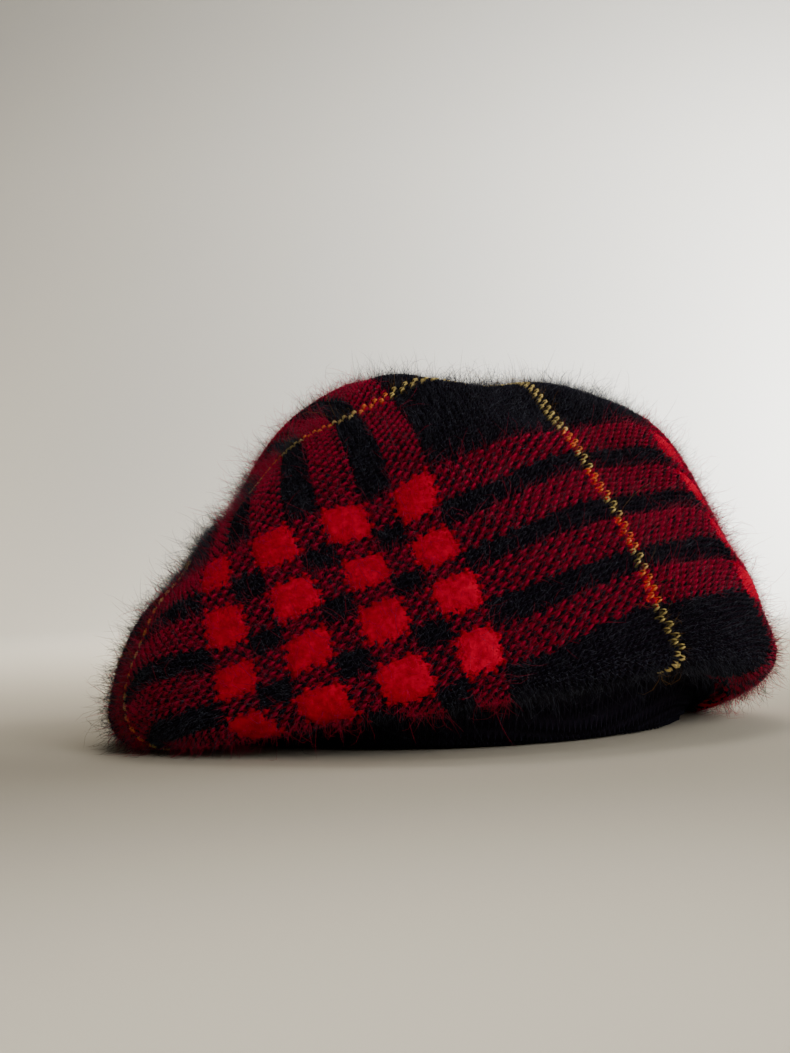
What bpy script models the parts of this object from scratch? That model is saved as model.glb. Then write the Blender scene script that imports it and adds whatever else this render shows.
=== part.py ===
import bpy
import numpy as np

# Soft knitted tam o' shanter, resting on its rim and its head band.
# Metres, +Z up, +X to the right as seen from the front, -Y towards the front.

MM = 0.001

WALL = 3.0 * MM            # thickness of the doubled, brushed knit
CROWN_TOP = 117.5 * MM     # height of the crown's middle before the dents
CROWN_MIDDLE = (2.6 * MM, -9.5 * MM)
SEAM_TURN = 5.0 * MM       # knit that lies flat between the rolled edge and the lower seam
GAP = 0.3 * MM             # clearance between neighbouring pieces

BAND_MIDDLE = (2.0 * MM, 3.0 * MM)
BAND_RADIUS = 69.0 * MM    # outside of the head band, not stretched
BAND_THICKNESS = 3.5 * MM
BAND_HEIGHT = 28.0 * MM
PANEL_EDGE_HEIGHT = 0.8 * MM   # the lower panel's underside where it meets the band

DIRECTIONS = 64            # sections around the crown
CURVE_POINTS = 160         # points that measure a section's length before it is divided
DOME_STEPS = 13            # from the middle to the widest line
ROLL_STEPS = 5             # around the rolled edge
PANEL_STEPS = 4            # down the lower panel's slope
FOLD_STEPS = 4             # over the head band's upper fold
PANEL_FLAT = 0.22          # share of the lower panel that lies level beside each of its seams
SHARP_ANGLE = 50.0         # edges bent more than this many degrees are shaded as corners

# The crown's sections, every 30 degrees counter-clockwise from the right (seen from above).
# reach: middle to the widest line; waist: height of the widest line;
# fullness: 1 is a straight slope, 2 an ellipse, more is boxier;
# lift: height of the rolled edge's lowest line, pressed flat where it is below 0;
# roll: how far the edge turns in under the widest line. All but fullness in millimetres.
SECTION_COLUMNS = ("reach", "waist", "fullness", "lift", "roll")
SECTIONS = {
    "right":            (101.5, 19.5, 1.72, 7.0, 14.0),
    "right, to back":   (99.5, 22.0, 2.40, -2.0, 14.0),
    "back, to right":   (106.0, 22.5, 2.35, -3.0, 13.5),
    "back":             (107.0, 21.5, 2.25, -3.0, 13.0),
    "back, to left":    (108.5, 18.5, 2.30, -3.0, 12.0),
    "left, to back":    (105.0, 14.0, 1.95, -2.0, 10.0),
    "left":             (106.0, 10.0, 1.44, 0.0, 8.0),
    "left tip":         (106.0, 12.0, 1.33, 2.0, 7.0),
    "front, to left":   (92.0, 16.5, 1.24, 8.0, 7.0),
    "front":            (88.0, 21.0, 1.31, 13.5, 8.0),
    "front, to right":  (86.0, 24.5, 1.35, 17.5, 10.0),
    "right, to front":  (95.5, 26.0, 1.24, 19.0, 12.0),
}

# Dents and swells of the slack crown. across and along are the half-sizes of each one,
# turn is the direction of its long side in degrees, the rest is in millimetres.
FOLD_COLUMNS = ("x", "y", "rise", "along", "across", "turn")
FOLDS = {
    "dent in the top": (9.7, -10.0, -8.7, 30.0, 25.0, 95.0),
    "swell on the right": (74.2, 0.0, 6.7, 70.0, 18.0, 46.0),
    "swell on the left": (-45.8, 19.0, 3.5, 35.0, 25.0, 118.0),
}
FOLD_FADE = (20.0 * MM, 60.0 * MM)   # folds die out between these heights
MIDDLE_ROUNDING = 0.35     # sections share one round shape within this angle of the middle

KNIT_RED = (0.16, 0.010, 0.016, 1.0)
KNIT_BLACK = (0.012, 0.010, 0.013, 1.0)
KNIT_ROUGHNESS = 0.95


def clear_scene():
    for thing in list(bpy.data.objects):
        bpy.data.objects.remove(thing, do_unlink=True)


def knit_material(name, colour):
    material = bpy.data.materials.new(name)
    material.use_nodes = True
    shader = material.node_tree.nodes["Principled BSDF"]
    shader.inputs["Base Color"].default_value = colour
    shader.inputs["Roughness"].default_value = KNIT_ROUGHNESS
    return material


def around(column, angles):
    # A column of SECTIONS as a smooth periodic curve: the sum of its own harmonics.
    values = np.array([row[SECTION_COLUMNS.index(column)] for row in SECTIONS.values()])
    count = len(values)
    terms = np.fft.rfft(values) / count
    orders = np.arange(len(terms))
    weights = np.where((orders == 0) | (orders * 2 == count), 1.0, 2.0)
    phase = np.multiply.outer(angles, orders)
    return (weights * (terms.real * np.cos(phase) - terms.imag * np.sin(phase))).sum(-1)


def section_sizes(angles):
    sizes = {name: around(name, angles)[:, None] for name in SECTION_COLUMNS}
    for name in ("reach", "waist", "lift", "roll"):
        sizes[name] = sizes[name] * MM
    sizes["lift"] = np.maximum(sizes["lift"], 0.0)
    return sizes


def fold_rise(x, y, z):
    # Each fold is a bell-shaped hill or hollow, faded out towards the rim.
    share = np.clip((z - FOLD_FADE[0]) / (FOLD_FADE[1] - FOLD_FADE[0]), 0.0, 1.0)
    fade = share * share * (3.0 - 2.0 * share)
    rise = np.zeros_like(z)
    for row in FOLDS.values():
        fold = dict(zip(FOLD_COLUMNS, row))
        turn = np.radians(fold["turn"])
        dx = x - fold["x"] * MM
        dy = y - fold["y"] * MM
        along = (dx * np.cos(turn) + dy * np.sin(turn)) / (fold["along"] * MM)
        across = (dy * np.cos(turn) - dx * np.sin(turn)) / (fold["across"] * MM)
        rise += fold["rise"] * MM * np.exp(-along ** 2 - across ** 2)
    return rise * fade


def even_steps(d, z, steps):
    # The points that divide each section's curve into steps of equal length.
    lengths = np.hypot(np.diff(d, axis=1), np.diff(z, axis=1)).cumsum(axis=1)
    even_d, even_z = [], []
    for row_d, row_z, row_length in zip(d, z, lengths):
        run = np.concatenate([[0.0], row_length])
        wanted = np.linspace(0.0, run[-1], steps + 1)
        even_d.append(np.interp(wanted, run, row_d))
        even_z.append(np.interp(wanted, run, row_z))
    return np.array(even_d), np.array(even_z)


def thick_section(along, height, thickness):
    # Adds the inner face: every point moved in by the wall's thickness, square to the section.
    run = np.gradient(along, axis=1)
    fall = np.gradient(height, axis=1)
    length = np.hypot(run, fall)
    out_along, out_height = -fall / length, run / length
    out_along[:, [0, -1]] = 0.0
    out_height[:, [0, -1]] = np.sign(run[:, [0, -1]])
    inner_along = (along - thickness * out_along)[:, ::-1]
    inner_height = (height - thickness * out_height)[:, ::-1]
    return np.concatenate([along, inner_along], axis=1), np.concatenate([height, inner_height], axis=1)


def crown_points(angles):
    # A superellipse from the middle to the widest line, a quarter ellipse round the
    # rolled edge, and a flat turn to the lower seam; then the same again for the inner face.
    size = section_sizes(angles)
    dome = np.linspace(0.0, np.pi / 2, CURVE_POINTS)[None, :]
    fullness = size["fullness"] + (2.0 - size["fullness"]) * np.exp(-(dome / MIDDLE_ROUNDING) ** 2)
    power = 2.0 / fullness
    fine_d = size["reach"] * np.sin(dome) ** power
    fine_z = size["waist"] + (CROWN_TOP - size["waist"]) * np.abs(np.cos(dome)) ** power
    dome_d, dome_z = even_steps(fine_d, fine_z, DOME_STEPS)
    roll = np.linspace(0.0, np.pi / 2, ROLL_STEPS + 1)[None, 1:]
    roll_d = size["reach"] - size["roll"] * (1.0 - np.cos(roll))
    roll_z = size["waist"] - (size["waist"] - size["lift"]) * np.sin(roll)
    seam_d = size["reach"] - size["roll"] - SEAM_TURN
    d = np.concatenate([dome_d, roll_d, seam_d], axis=1)
    z = np.concatenate([dome_z, roll_z, size["lift"]], axis=1)
    outwards = np.stack([np.cos(angles), np.sin(angles)], axis=-1)[:, None, :]
    ground = np.array(CROWN_MIDDLE) + d[..., None] * outwards
    z = z + fold_rise(ground[..., 0], ground[..., 1], z)
    z[:, 0] = z[:, 0].mean()
    d, z = thick_section(d, z, WALL)
    ground = np.array(CROWN_MIDDLE) + d[..., None] * outwards
    return np.concatenate([ground, z[..., None]], axis=-1)


def panel_points(angles):
    # From the lower seam, level, down an S-shaped slope, and level again to the head band.
    size = section_sizes(angles)
    seam_d = size["reach"] - size["roll"] - SEAM_TURN - GAP
    outwards = np.stack([np.cos(angles), np.sin(angles)], axis=-1)
    outer = np.array(CROWN_MIDDLE) + seam_d * outwards
    inner = np.array(BAND_MIDDLE) + (BAND_RADIUS + GAP) * outwards
    across = inner - outer
    width = np.linalg.norm(across, axis=-1, keepdims=True)
    slope = np.linspace(0.0, 1.0, PANEL_STEPS + 1)
    share = np.concatenate([[0.0], PANEL_FLAT + (1.0 - 2.0 * PANEL_FLAT) * slope, [1.0]])
    slope = np.concatenate([[0.0], slope, [1.0]])
    ease = slope * slope * (3.0 - 2.0 * slope)
    height = size["lift"] + (PANEL_EDGE_HEIGHT - size["lift"]) * ease[None, :]
    run, height = thick_section(-width * share[None, :], height, WALL)
    ground = outer[:, None, :] - across[:, None, :] * (run / width)[..., None]
    return np.concatenate([ground, height[..., None]], axis=-1)


def headband_points(angles):
    # A ring with a flat lower edge and a rounded upper fold, turned up inside the hollow.
    half = BAND_THICKNESS / 2
    fold = np.linspace(0.0, np.pi, FOLD_STEPS + 1)
    radii = BAND_RADIUS - half + np.concatenate([half * np.cos(fold[::-1]), [half, -half]])
    heights = np.concatenate([BAND_HEIGHT - half + half * np.sin(fold), [0.0, 0.0]])
    outwards = np.stack([np.cos(angles), np.sin(angles)], axis=-1)[:, None, :]
    ground = np.array(BAND_MIDDLE) + radii[:, None] * outwards
    return np.concatenate([ground, np.broadcast_to(heights, ground.shape[:2])[..., None]], axis=-1)


def knit_piece(name, points, colour, has_middle):
    # Quads between neighbouring sections. Each section is a closed loop of points, except
    # on the crown, where its two ends meet the other sections' ends in one point each.
    sections, stations = points.shape[:2]
    first, rings = (1, stations - 2) if has_middle else (0, stations)
    ring_points = points[:, 1:-1] if has_middle else points
    vertices = ring_points.reshape(-1, 3)
    faces = []
    if has_middle:
        vertices = np.concatenate([points[:1, 0], vertices, points[:1, -1]])
    for i in range(sections):
        here = first + i * rings
        there = first + (i + 1) % sections * rings
        for j in range(rings - 1):
            faces.append((here + j, here + j + 1, there + j + 1, there + j))
        if has_middle:
            faces.append((0, here, there))
            faces.append((len(vertices) - 1, there + rings - 1, here + rings - 1))
        else:
            faces.append((here + rings - 1, here, there, there + rings - 1))
    mesh = bpy.data.meshes.new(name)
    mesh.from_pydata(vertices.tolist(), [], faces)
    mesh.materials.append(knit_material(name + "_knit", colour))
    mesh.shade_smooth()
    mesh.set_sharp_from_angle(angle=np.radians(SHARP_ANGLE))
    piece = bpy.data.objects.new(name, mesh)
    bpy.context.collection.objects.link(piece)


clear_scene()
section_angles = np.arange(DIRECTIONS) * 2.0 * np.pi / DIRECTIONS
knit_piece("crown", crown_points(section_angles), KNIT_RED, has_middle=True)
knit_piece("underside", panel_points(section_angles), KNIT_BLACK, has_middle=False)
knit_piece("headband", headband_points(section_angles), KNIT_BLACK, has_middle=False)
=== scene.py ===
import bpy
import numpy as np
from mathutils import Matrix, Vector


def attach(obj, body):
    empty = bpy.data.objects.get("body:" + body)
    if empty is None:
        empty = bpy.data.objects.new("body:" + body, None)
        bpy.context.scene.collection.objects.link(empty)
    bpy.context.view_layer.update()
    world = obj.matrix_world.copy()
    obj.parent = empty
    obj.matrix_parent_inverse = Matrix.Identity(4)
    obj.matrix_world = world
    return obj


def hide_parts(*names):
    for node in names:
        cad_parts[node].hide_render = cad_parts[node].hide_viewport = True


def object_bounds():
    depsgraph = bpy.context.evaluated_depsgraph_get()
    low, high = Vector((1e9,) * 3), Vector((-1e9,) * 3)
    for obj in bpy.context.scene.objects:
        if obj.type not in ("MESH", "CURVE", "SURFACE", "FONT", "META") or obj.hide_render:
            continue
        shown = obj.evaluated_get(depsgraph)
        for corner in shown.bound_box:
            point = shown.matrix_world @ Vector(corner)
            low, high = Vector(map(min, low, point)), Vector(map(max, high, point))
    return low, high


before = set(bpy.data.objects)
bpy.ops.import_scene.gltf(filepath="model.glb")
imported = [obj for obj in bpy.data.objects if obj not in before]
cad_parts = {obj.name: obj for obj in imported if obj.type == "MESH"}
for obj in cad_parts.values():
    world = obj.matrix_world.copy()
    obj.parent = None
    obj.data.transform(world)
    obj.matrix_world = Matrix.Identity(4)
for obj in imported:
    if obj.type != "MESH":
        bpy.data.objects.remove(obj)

# Brushed tartan tam, seen as in the photograph. Metres, +Z up, the front of the hat towards -Y.
mm = 0.001
cadLow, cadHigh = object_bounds()
print("frame loaded:", sorted(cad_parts))


view = {
    "imageWidth": 790.0,  # pixels of the photograph
    "imageHeight": 1053.0,
    "focal": 1650.0,      # pixels
    "position": (-13.6, -539.0, 53.0),  # mm
    "pitch": 1.3,         # degrees up
    "roll": 1.9,          # degrees clockwise
    "sensor": 36.0,       # mm across the image's width
    "nearest": 0.01,      # metres, the nearest that it sees
}
viewFrom = np.array(view["position"]) * mm


def addObject(name, data):
    thing = bpy.data.objects.new(name, data)
    bpy.context.scene.collection.objects.link(thing)
    return thing


def addCamera():
    data = bpy.data.cameras.new("camera")
    data.sensor_fit = "HORIZONTAL"
    data.sensor_width = view["sensor"]
    data.lens = view["sensor"] * view["focal"] / view["imageWidth"]
    data.clip_start = view["nearest"]
    camera = addObject("camera", data)
    camera.location = viewFrom
    camera.rotation_mode = "ZYX"
    camera.rotation_euler = (np.radians(90.0 + view["pitch"]), 0.0, np.radians(-view["roll"]))
    bpy.context.scene.camera = camera


def toPixels(points):
    # The photograph's pixel of each point: turned by pitch and roll, then divided by its distance.
    x, y, z = np.moveaxis(points - viewFrom, -1, 0)
    pitch, roll = np.radians(view["pitch"]), np.radians(view["roll"])
    away = y * np.cos(pitch) + z * np.sin(pitch)
    up = z * np.cos(pitch) - y * np.sin(pitch)
    right = x * np.cos(roll) - up * np.sin(roll)
    above = x * np.sin(roll) + up * np.cos(roll)
    return np.stack([view["imageWidth"] / 2 + right * view["focal"] / away,
                     view["imageHeight"] / 2 - above * view["focal"] / away], axis=-1)


addCamera()
print("camera set")


class Value:
    # A socket in a sum: each operation on it adds one Math node.
    def __init__(self, tree, socket):
        self.tree = tree
        self.socket = socket

    def math(self, operation, *others, swap=False):
        node = self.tree.nodes.new("ShaderNodeMath")
        node.operation = operation
        terms = [self, *others]
        if swap:
            terms.reverse()
        for i, term in enumerate(terms):
            if isinstance(term, Value):
                self.tree.links.new(term.socket, node.inputs[i])
            else:
                node.inputs[i].default_value = term
        return Value(self.tree, node.outputs[0])

    def __add__(self, other):
        return self.math("ADD", other)

    def __sub__(self, other):
        return self.math("SUBTRACT", other)

    def __rsub__(self, other):
        return self.math("SUBTRACT", other, swap=True)

    def __mul__(self, other):
        return self.math("MULTIPLY", other)

    def __truediv__(self, other):
        return self.math("DIVIDE", other)

    def __lt__(self, other):
        return self.math("LESS_THAN", other)

    def __gt__(self, other):
        return self.math("GREATER_THAN", other)

    def __abs__(self):
        return self.math("ABSOLUTE")

    __radd__ = __add__
    __rmul__ = __mul__


class Finish:
    # One material: its shader, and the one way in which its other nodes are made.
    def __init__(self, name, roughness, gloss, sheen=0.0, sheenTint=(1.0, 1.0, 1.0)):
        self.material = bpy.data.materials.new(name)
        self.material.use_nodes = True
        self.tree = self.material.node_tree
        self.shader = self.tree.nodes["Principled BSDF"]
        look = {"Roughness": roughness, "Specular IOR Level": gloss, "Sheen Weight": sheen,
                "Sheen Roughness": yarn["sheenRoughness"], "Sheen Tint": (*sheenTint, 1.0)}
        for socket, value in look.items():
            self.feed(self.shader.inputs[socket], value)

    def node(self, kind, sockets=None, output=0, **settings):
        node = self.tree.nodes.new("ShaderNode" + kind)
        for name, setting in settings.items():
            setattr(node, name, setting)
        for name, value in (sockets or {}).items():
            self.feed(node.inputs[name], value)
        return Value(self.tree, node.outputs[output])

    def feed(self, socket, value):
        if isinstance(value, Value):
            self.tree.links.new(value.socket, socket)
        else:
            socket.default_value = value

    def objectPlace(self):
        return self.node("TexCoord", output="Object")

    def uv(self, name):
        return self.node("UVMap", uv_map=name)

    def parts(self, vector):
        # The first two numbers of a vector, each on its own.
        node = self.node("SeparateXYZ", {"Vector": vector}).socket.node
        return [Value(self.tree, node.outputs[i]) for i in range(2)]

    def noise(self, place, scale, detail=2.0, stretch=(1, 1, 1)):
        place = self.node("Mapping", {"Vector": place, "Scale": stretch})
        return self.node("TexNoise", {"Vector": place, "Scale": scale, "Detail": detail})

    def drift(self, scale, contrast=1.0, detail=2.0):
        # A share that wanders about a half over the piece, further with more contrast.
        return (self.noise(self.objectPlace(), scale, detail) - 0.5) * contrast + 0.5

    def mix(self, share, one, other):
        # A colour between two: inputs 6 and 7 of a Mix node are its colours, output 2 its result.
        return self.node("Mix", {0: share, 6: one, 7: other}, 2, data_type="RGBA")

    def shaded(self, share, colour, shades, other=None):
        # From a dark shade of the colour to a light shade of it, or of another.
        return self.mix(share, rgb(colour, shades[0]), rgb(other or colour, shades[1]))

    def colour(self, value):
        self.feed(self.shader.inputs["Base Color"], value)

    def bump(self, height, distance, strength):
        normal = self.node("Bump", {"Height": height, "Distance": distance, "Strength": strength})
        self.feed(self.shader.inputs["Normal"], normal)

    def grain(self, look):
        self.bump(self.noise(self.objectPlace(), *look["grain"]), *look["grainBump"])


yarn = {
    "red": (0.50, 0.002, 0.024),
    "lone red": (0.38, 0.002, 0.028),  # the red yarn made darker: painted shade from the black nap around it, which also partly covers it
    "black": (0.007, 0.0052, 0.009),
    "yellow": (0.82, 0.62, 0.21),
    "orange": (0.90, 0.075, 0.028),  # the yellow seen through red nap
    "orange lit": (0.97, 0.33, 0.08),
    "behind orange": (0.72, 0.03, 0.02),
    "look": (0.9, 0.02),     # roughness and gloss
    "sheenRoughness": 0.4,
    "shades": (0.62, 1.35),  # a yarn's darkest and lightest, of its colour
    "contrast": 1.8,         # between them
    "fibres": (6.0, 3.0, (1, 7, 1)),  # scale, detail and stretch of the fibres along a strand
    "fibreBump": (0.35 * mm, 0.7),  # their depth and strength
}


def rgb(colour, shade=1.0):
    return (colour[0] * shade, colour[1] * shade, colour[2] * shade, 1.0)


def yarnFinish(name, colour, sheen, sheenTint, other=None, scale=160.0):
    # Yarn: its colour drifts a little over the knit, and fine fibres run along each strand.
    finish = Finish(name, *yarn["look"], sheen, sheenTint)
    finish.colour(finish.shaded(finish.drift(scale, yarn["contrast"]), colour, yarn["shades"], other))
    finish.bump(finish.noise(finish.uv("strand"), *yarn["fibres"]), *yarn["fibreBump"])
    return finish.material


def makeMesh(name, points, faces, material, uvName=None, uv=None):
    # One mesh object from whole arrays: points (n, 3), faces (m, corners), uv (n, 2).
    mesh = bpy.data.meshes.new(name)
    mesh.vertices.add(len(points))
    mesh.vertices.foreach_set("co", points.astype(np.float32).ravel())
    mesh.loops.add(faces.size)
    mesh.loops.foreach_set("vertex_index", faces.astype(np.int32).ravel())
    mesh.polygons.add(len(faces))
    mesh.polygons.foreach_set("loop_start", np.arange(0, faces.size, faces.shape[1], dtype=np.int32))
    mesh.update(calc_edges=True)
    if uv is not None:
        layer = mesh.uv_layers.new(name=uvName)
        layer.data.foreach_set("uv", uv[faces.ravel()].astype(np.float32).ravel())
    mesh.validate()
    mesh.shade_smooth()
    mesh.materials.append(material)
    return addObject(name, mesh)


def makePiece(*mesh):
    # A mesh of the hat itself.
    piece = makeMesh(*mesh)
    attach(piece, "root")
    return piece


def gridFaces(rows, columns, closedRows, closedColumns):
    # Quads between neighbouring points of a grid, wrapped round where a side is closed.
    i = np.arange(rows if closedRows else rows - 1)[:, None]
    j = np.arange(columns if closedColumns else columns - 1)[None, :]
    i2, j2 = (i + 1) % rows, (j + 1) % columns
    corners = [i * columns + j, i * columns + j2, i2 * columns + j2, i2 * columns + j]
    return np.stack(np.broadcast_arrays(*corners), axis=-1).reshape(-1, 4)


def unit(vectors):
    # Each vector at length one; the small number keeps those of no length from dividing by zero.
    return vectors / (np.linalg.norm(vectors, axis=-1, keepdims=True) + 1e-12)


def smoothStep(values, low, high):
    # From 0 at low to 1 at high, level at both ends.
    share = np.clip((values - low) / (high - low), 0.0, 1.0)
    return share * share * (3.0 - 2.0 * share)


def fullTurn(count):
    # Directions spread evenly round the hat, in radians.
    return np.arange(count) * 2 * np.pi / count


def heading(angle):
    return np.stack([np.cos(angle), np.sin(angle)], axis=-1)


def everyPair(one, other):
    return [grid.ravel() for grid in np.meshgrid(one, other, indexing="ij")]


strand = {
    "corners": (90.0, 210.0, 330.0),  # degrees, of a strand's three sides
    "mapTiles": (61, 53),  # map units over which strands are spread, so that no two look alike
    "upright": 0.9,        # past this share a straight strand counts as upright
}


def strandMap(along, across, count):
    # The same map for each strand, moved by whole units from one strand to the next.
    tile = np.stack([np.arange(count) % tiles for tiles in strand["mapTiles"]], -1)
    return (np.stack([along, across], -1)[None] + tile[:, None]).reshape(-1, 2)


def spindles(paths, radii, up):
    # Strands of three sides that start and end in a point: paths (n, k, 3), radii (n, k).
    # Every ring lies square to its strand, with one corner on the side that up points to.
    n, k = paths.shape[:2]
    along = unit(np.gradient(paths, axis=1))
    side = unit(np.cross(along, np.broadcast_to(up[:, None, :], paths.shape)))
    top = np.cross(side, along)
    turn = np.radians(strand["corners"])[None, None, :, None]
    square = np.cos(turn) * side[:, 1:-1, None, :] + np.sin(turn) * top[:, 1:-1, None, :]
    rings = paths[:, 1:-1, None, :] + radii[:, 1:-1, None, None] * square
    points = np.concatenate([paths[:, :1], rings.reshape(n, -1, 3), paths[:, -1:]], axis=1)
    size = points.shape[1]
    corner = np.arange(3)
    after = (corner + 1) % 3
    faces = [np.stack([np.zeros(3, int), 1 + after, 1 + corner], -1)]
    for low in range(1, 3 * (k - 3), 3):
        high = low + 3
        faces.append(np.stack([low + corner, low + after, high + after], -1))
        faces.append(np.stack([low + corner, high + after, high + corner], -1))
    last = size - 4
    faces.append(np.stack([last + corner, last + after, np.full(3, size - 1)], -1))
    faces = np.concatenate(faces)[None, :, ::-1] + (np.arange(n) * size)[:, None, None]
    mapAlong = np.concatenate([[0.0], np.repeat(np.linspace(0, 1, k)[1:-1], 3), [1.0]])
    mapAcross = np.concatenate([[0.5], np.tile(corner / 3.0, k - 2), [0.5]])
    return points.reshape(-1, 3), faces.reshape(-1, 3), strandMap(mapAlong, mapAcross, n)


def spikes(roots, tips, radii):
    # Straight strands of four faces each: a small triangle at the root, whose corners run to the tip.
    n = len(roots)
    along = unit(tips - roots)
    upright = np.abs(along[:, 2:]) >= strand["upright"]
    side = unit(np.cross(along, np.where(upright, [1.0, 0.0, 0.0], [0.0, 0.0, 1.0])))
    turn = np.radians(strand["corners"])[None, :, None]
    ring = np.cos(turn) * side[:, None, :] + np.sin(turn) * np.cross(along, side)[:, None, :]
    points = np.concatenate([roots[:, None, :] + radii[:, None, None] * ring, tips[:, None, :]], axis=1)
    corners = np.array([(0, 2, 1), (0, 1, 3), (1, 2, 3), (2, 0, 3)])
    faces = corners[None] + (np.arange(n) * 4)[:, None, None]
    uv = strandMap([0.0, 0.0, 0.0, 1.0], [0.0, 0.33, 0.67, 0.5], n)
    return points.reshape(-1, 3), faces.reshape(-1, 3), uv


crown = {
    "wall": 3.0 * mm,
    "top": 117.5 * mm,       # height of the middle before the dents
    "middle": (2.6 * mm, -9.5 * mm),
    "seamTurn": 5.0 * mm,    # knit that lies flat between the rolled edge and the lower seam
    "middleRounding": 0.35,  # radians, how far the middle's one round shape spreads
    "foldFade": (20.0 * mm, 60.0 * mm),  # the folds die out between these heights
    "softening": 3.0 * mm,   # length over which a section's bends are evened out
    "waves": 12,             # plane waves in the slack knit
    "waveHeight": 0.45 * mm,
    "waveLengths": (24.0 * mm, 60.0 * mm),
    "waveFade": 25.0 * mm,   # they die out towards the floor from this height
    "waveSeed": 5,
    "directions": 720,       # fine form that everything is laid on
    "steps": 400,
    "rollSteps": 60,
}

# The crown's sections, every 30 degrees counter-clockwise from the right (seen from above).
# reach: middle to the widest line; waist: its height; fullness: 1 is a straight slope, 2 an
# ellipse; lift: height of the rolled edge's lowest line; roll: how far the edge turns in.
sectionColumns = ("reach", "waist", "fullness", "lift", "roll")
sections = {
    "right": (101.5, 19.5, 1.72, 7.0, 14.0),
    "right, to back": (99.5, 22.0, 2.40, -2.0, 14.0),
    "back, to right": (106.0, 22.5, 2.35, -3.0, 13.5),
    "back": (107.0, 21.5, 2.25, -3.0, 13.0),
    "back, to left": (108.5, 18.5, 2.30, -3.0, 12.0),
    "left, to back": (105.0, 14.0, 1.95, -2.0, 10.0),
    "left": (106.0, 10.0, 1.44, 0.0, 8.0),
    "left tip": (106.0, 12.0, 1.33, 2.0, 7.0),
    "front, to left": (92.0, 16.5, 1.24, 8.0, 7.0),
    "front": (88.0, 21.0, 1.31, 13.5, 8.0),
    "front, to right": (86.0, 24.5, 1.35, 17.5, 10.0),
    "right, to front": (95.5, 26.0, 1.24, 19.0, 12.0),
}

# Dents and swells of the slack crown: x, y, rise and size along and across in mm, and the
# direction of the long side in degrees.
folds = {
    "dent in the top": (9.7, -10.0, -8.7, 30.0, 25.0, 95.0),
    "swell on the right": (74.2, 0.0, 6.7, 70.0, 18.0, 46.0),
    "swell on the left": (-45.8, 19.0, 3.5, 35.0, 25.0, 118.0),
}

# Smaller, softer hollows and swells, square to the knit: x, y, z, rise and radius in mm.
slack = {
    "hollow of the left flank": (-75.0, 8.0, 66.0, -5.6, 29.0),
    "swell over the left tip": (-97.0, -27.0, 28.0, 1.5, 18.0),
    "hollow of the right shoulder": (90.0, 0.0, 69.0, -1.8, 12.0),
    "swell under that shoulder": (96.0, -10.0, 48.0, 1.3, 15.0),
    "swell before the left tip": (-80.0, -58.0, 28.0, 3.5, 24.0),
}


def around(column, angles):
    # A column of sections as a smooth periodic curve: the sum of its own harmonics.
    values = np.array([row[sectionColumns.index(column)] for row in sections.values()])
    count = len(values)
    terms = np.fft.rfft(values) / count
    orders = np.arange(len(terms))
    weights = np.where((orders == 0) | (orders * 2 == count), 1.0, 2.0)
    phase = np.multiply.outer(angles, orders)
    return (weights * (terms.real * np.cos(phase) - terms.imag * np.sin(phase))).sum(-1)


def sectionSizes(angles):
    # All the columns at these directions, in metres but for fullness, as (n, 1).
    sizes = {name: around(name, angles)[:, None] for name in sectionColumns}
    for name in ("reach", "waist", "lift", "roll"):
        sizes[name] = sizes[name] * mm
    sizes["lift"] = np.maximum(sizes["lift"], 0.0)
    return sizes


def foldRise(x, y, z):
    # Each fold is a bell-shaped hill or hollow, faded out towards the rim.
    rise = np.zeros_like(z)
    for foldX, foldY, height, long, wide, turn in folds.values():
        turn = np.radians(turn)
        dx, dy = x - foldX * mm, y - foldY * mm
        along = (dx * np.cos(turn) + dy * np.sin(turn)) / (long * mm)
        across = (dy * np.cos(turn) - dx * np.sin(turn)) / (wide * mm)
        rise += height * mm * np.exp(-along ** 2 - across ** 2)
    return rise * smoothStep(z, *crown["foldFade"])


def evenSteps(d, z):
    # The points that divide each section's curve into steps of equal length, and its length.
    lengths = np.hypot(np.diff(d, axis=1), np.diff(z, axis=1)).cumsum(axis=1)
    lengths = np.concatenate([np.zeros((len(d), 1)), lengths], axis=1)
    wanted = [np.linspace(0.0, run[-1], crown["steps"] + 1) for run in lengths]
    even = [[np.interp(*each) for each in zip(wanted, lengths, grid)] for grid in (d, z)]
    return *np.array(even), lengths[:, -1]


def slackWaves(points):
    # The knit's soft unevenness: the sum of plane waves in many directions, of different
    # lengths, and of bell-shaped hollows and swells.
    draw = np.random.default_rng(crown["waveSeed"])
    rise = np.zeros(points.shape[:-1])
    for _ in range(crown["waves"]):
        direction = draw.normal(size=3)
        direction *= 2 * np.pi / draw.uniform(*crown["waveLengths"]) / np.linalg.norm(direction)
        rise += np.sin(points @ direction + draw.uniform(0, 2 * np.pi))
    rise *= crown["waveHeight"] / np.sqrt(crown["waves"] / 2)
    for *middle, height, radius in slack.values():
        away = points / mm - middle
        rise += height * mm * np.exp(-(away ** 2).sum(-1) / radius ** 2)
    return rise


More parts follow.
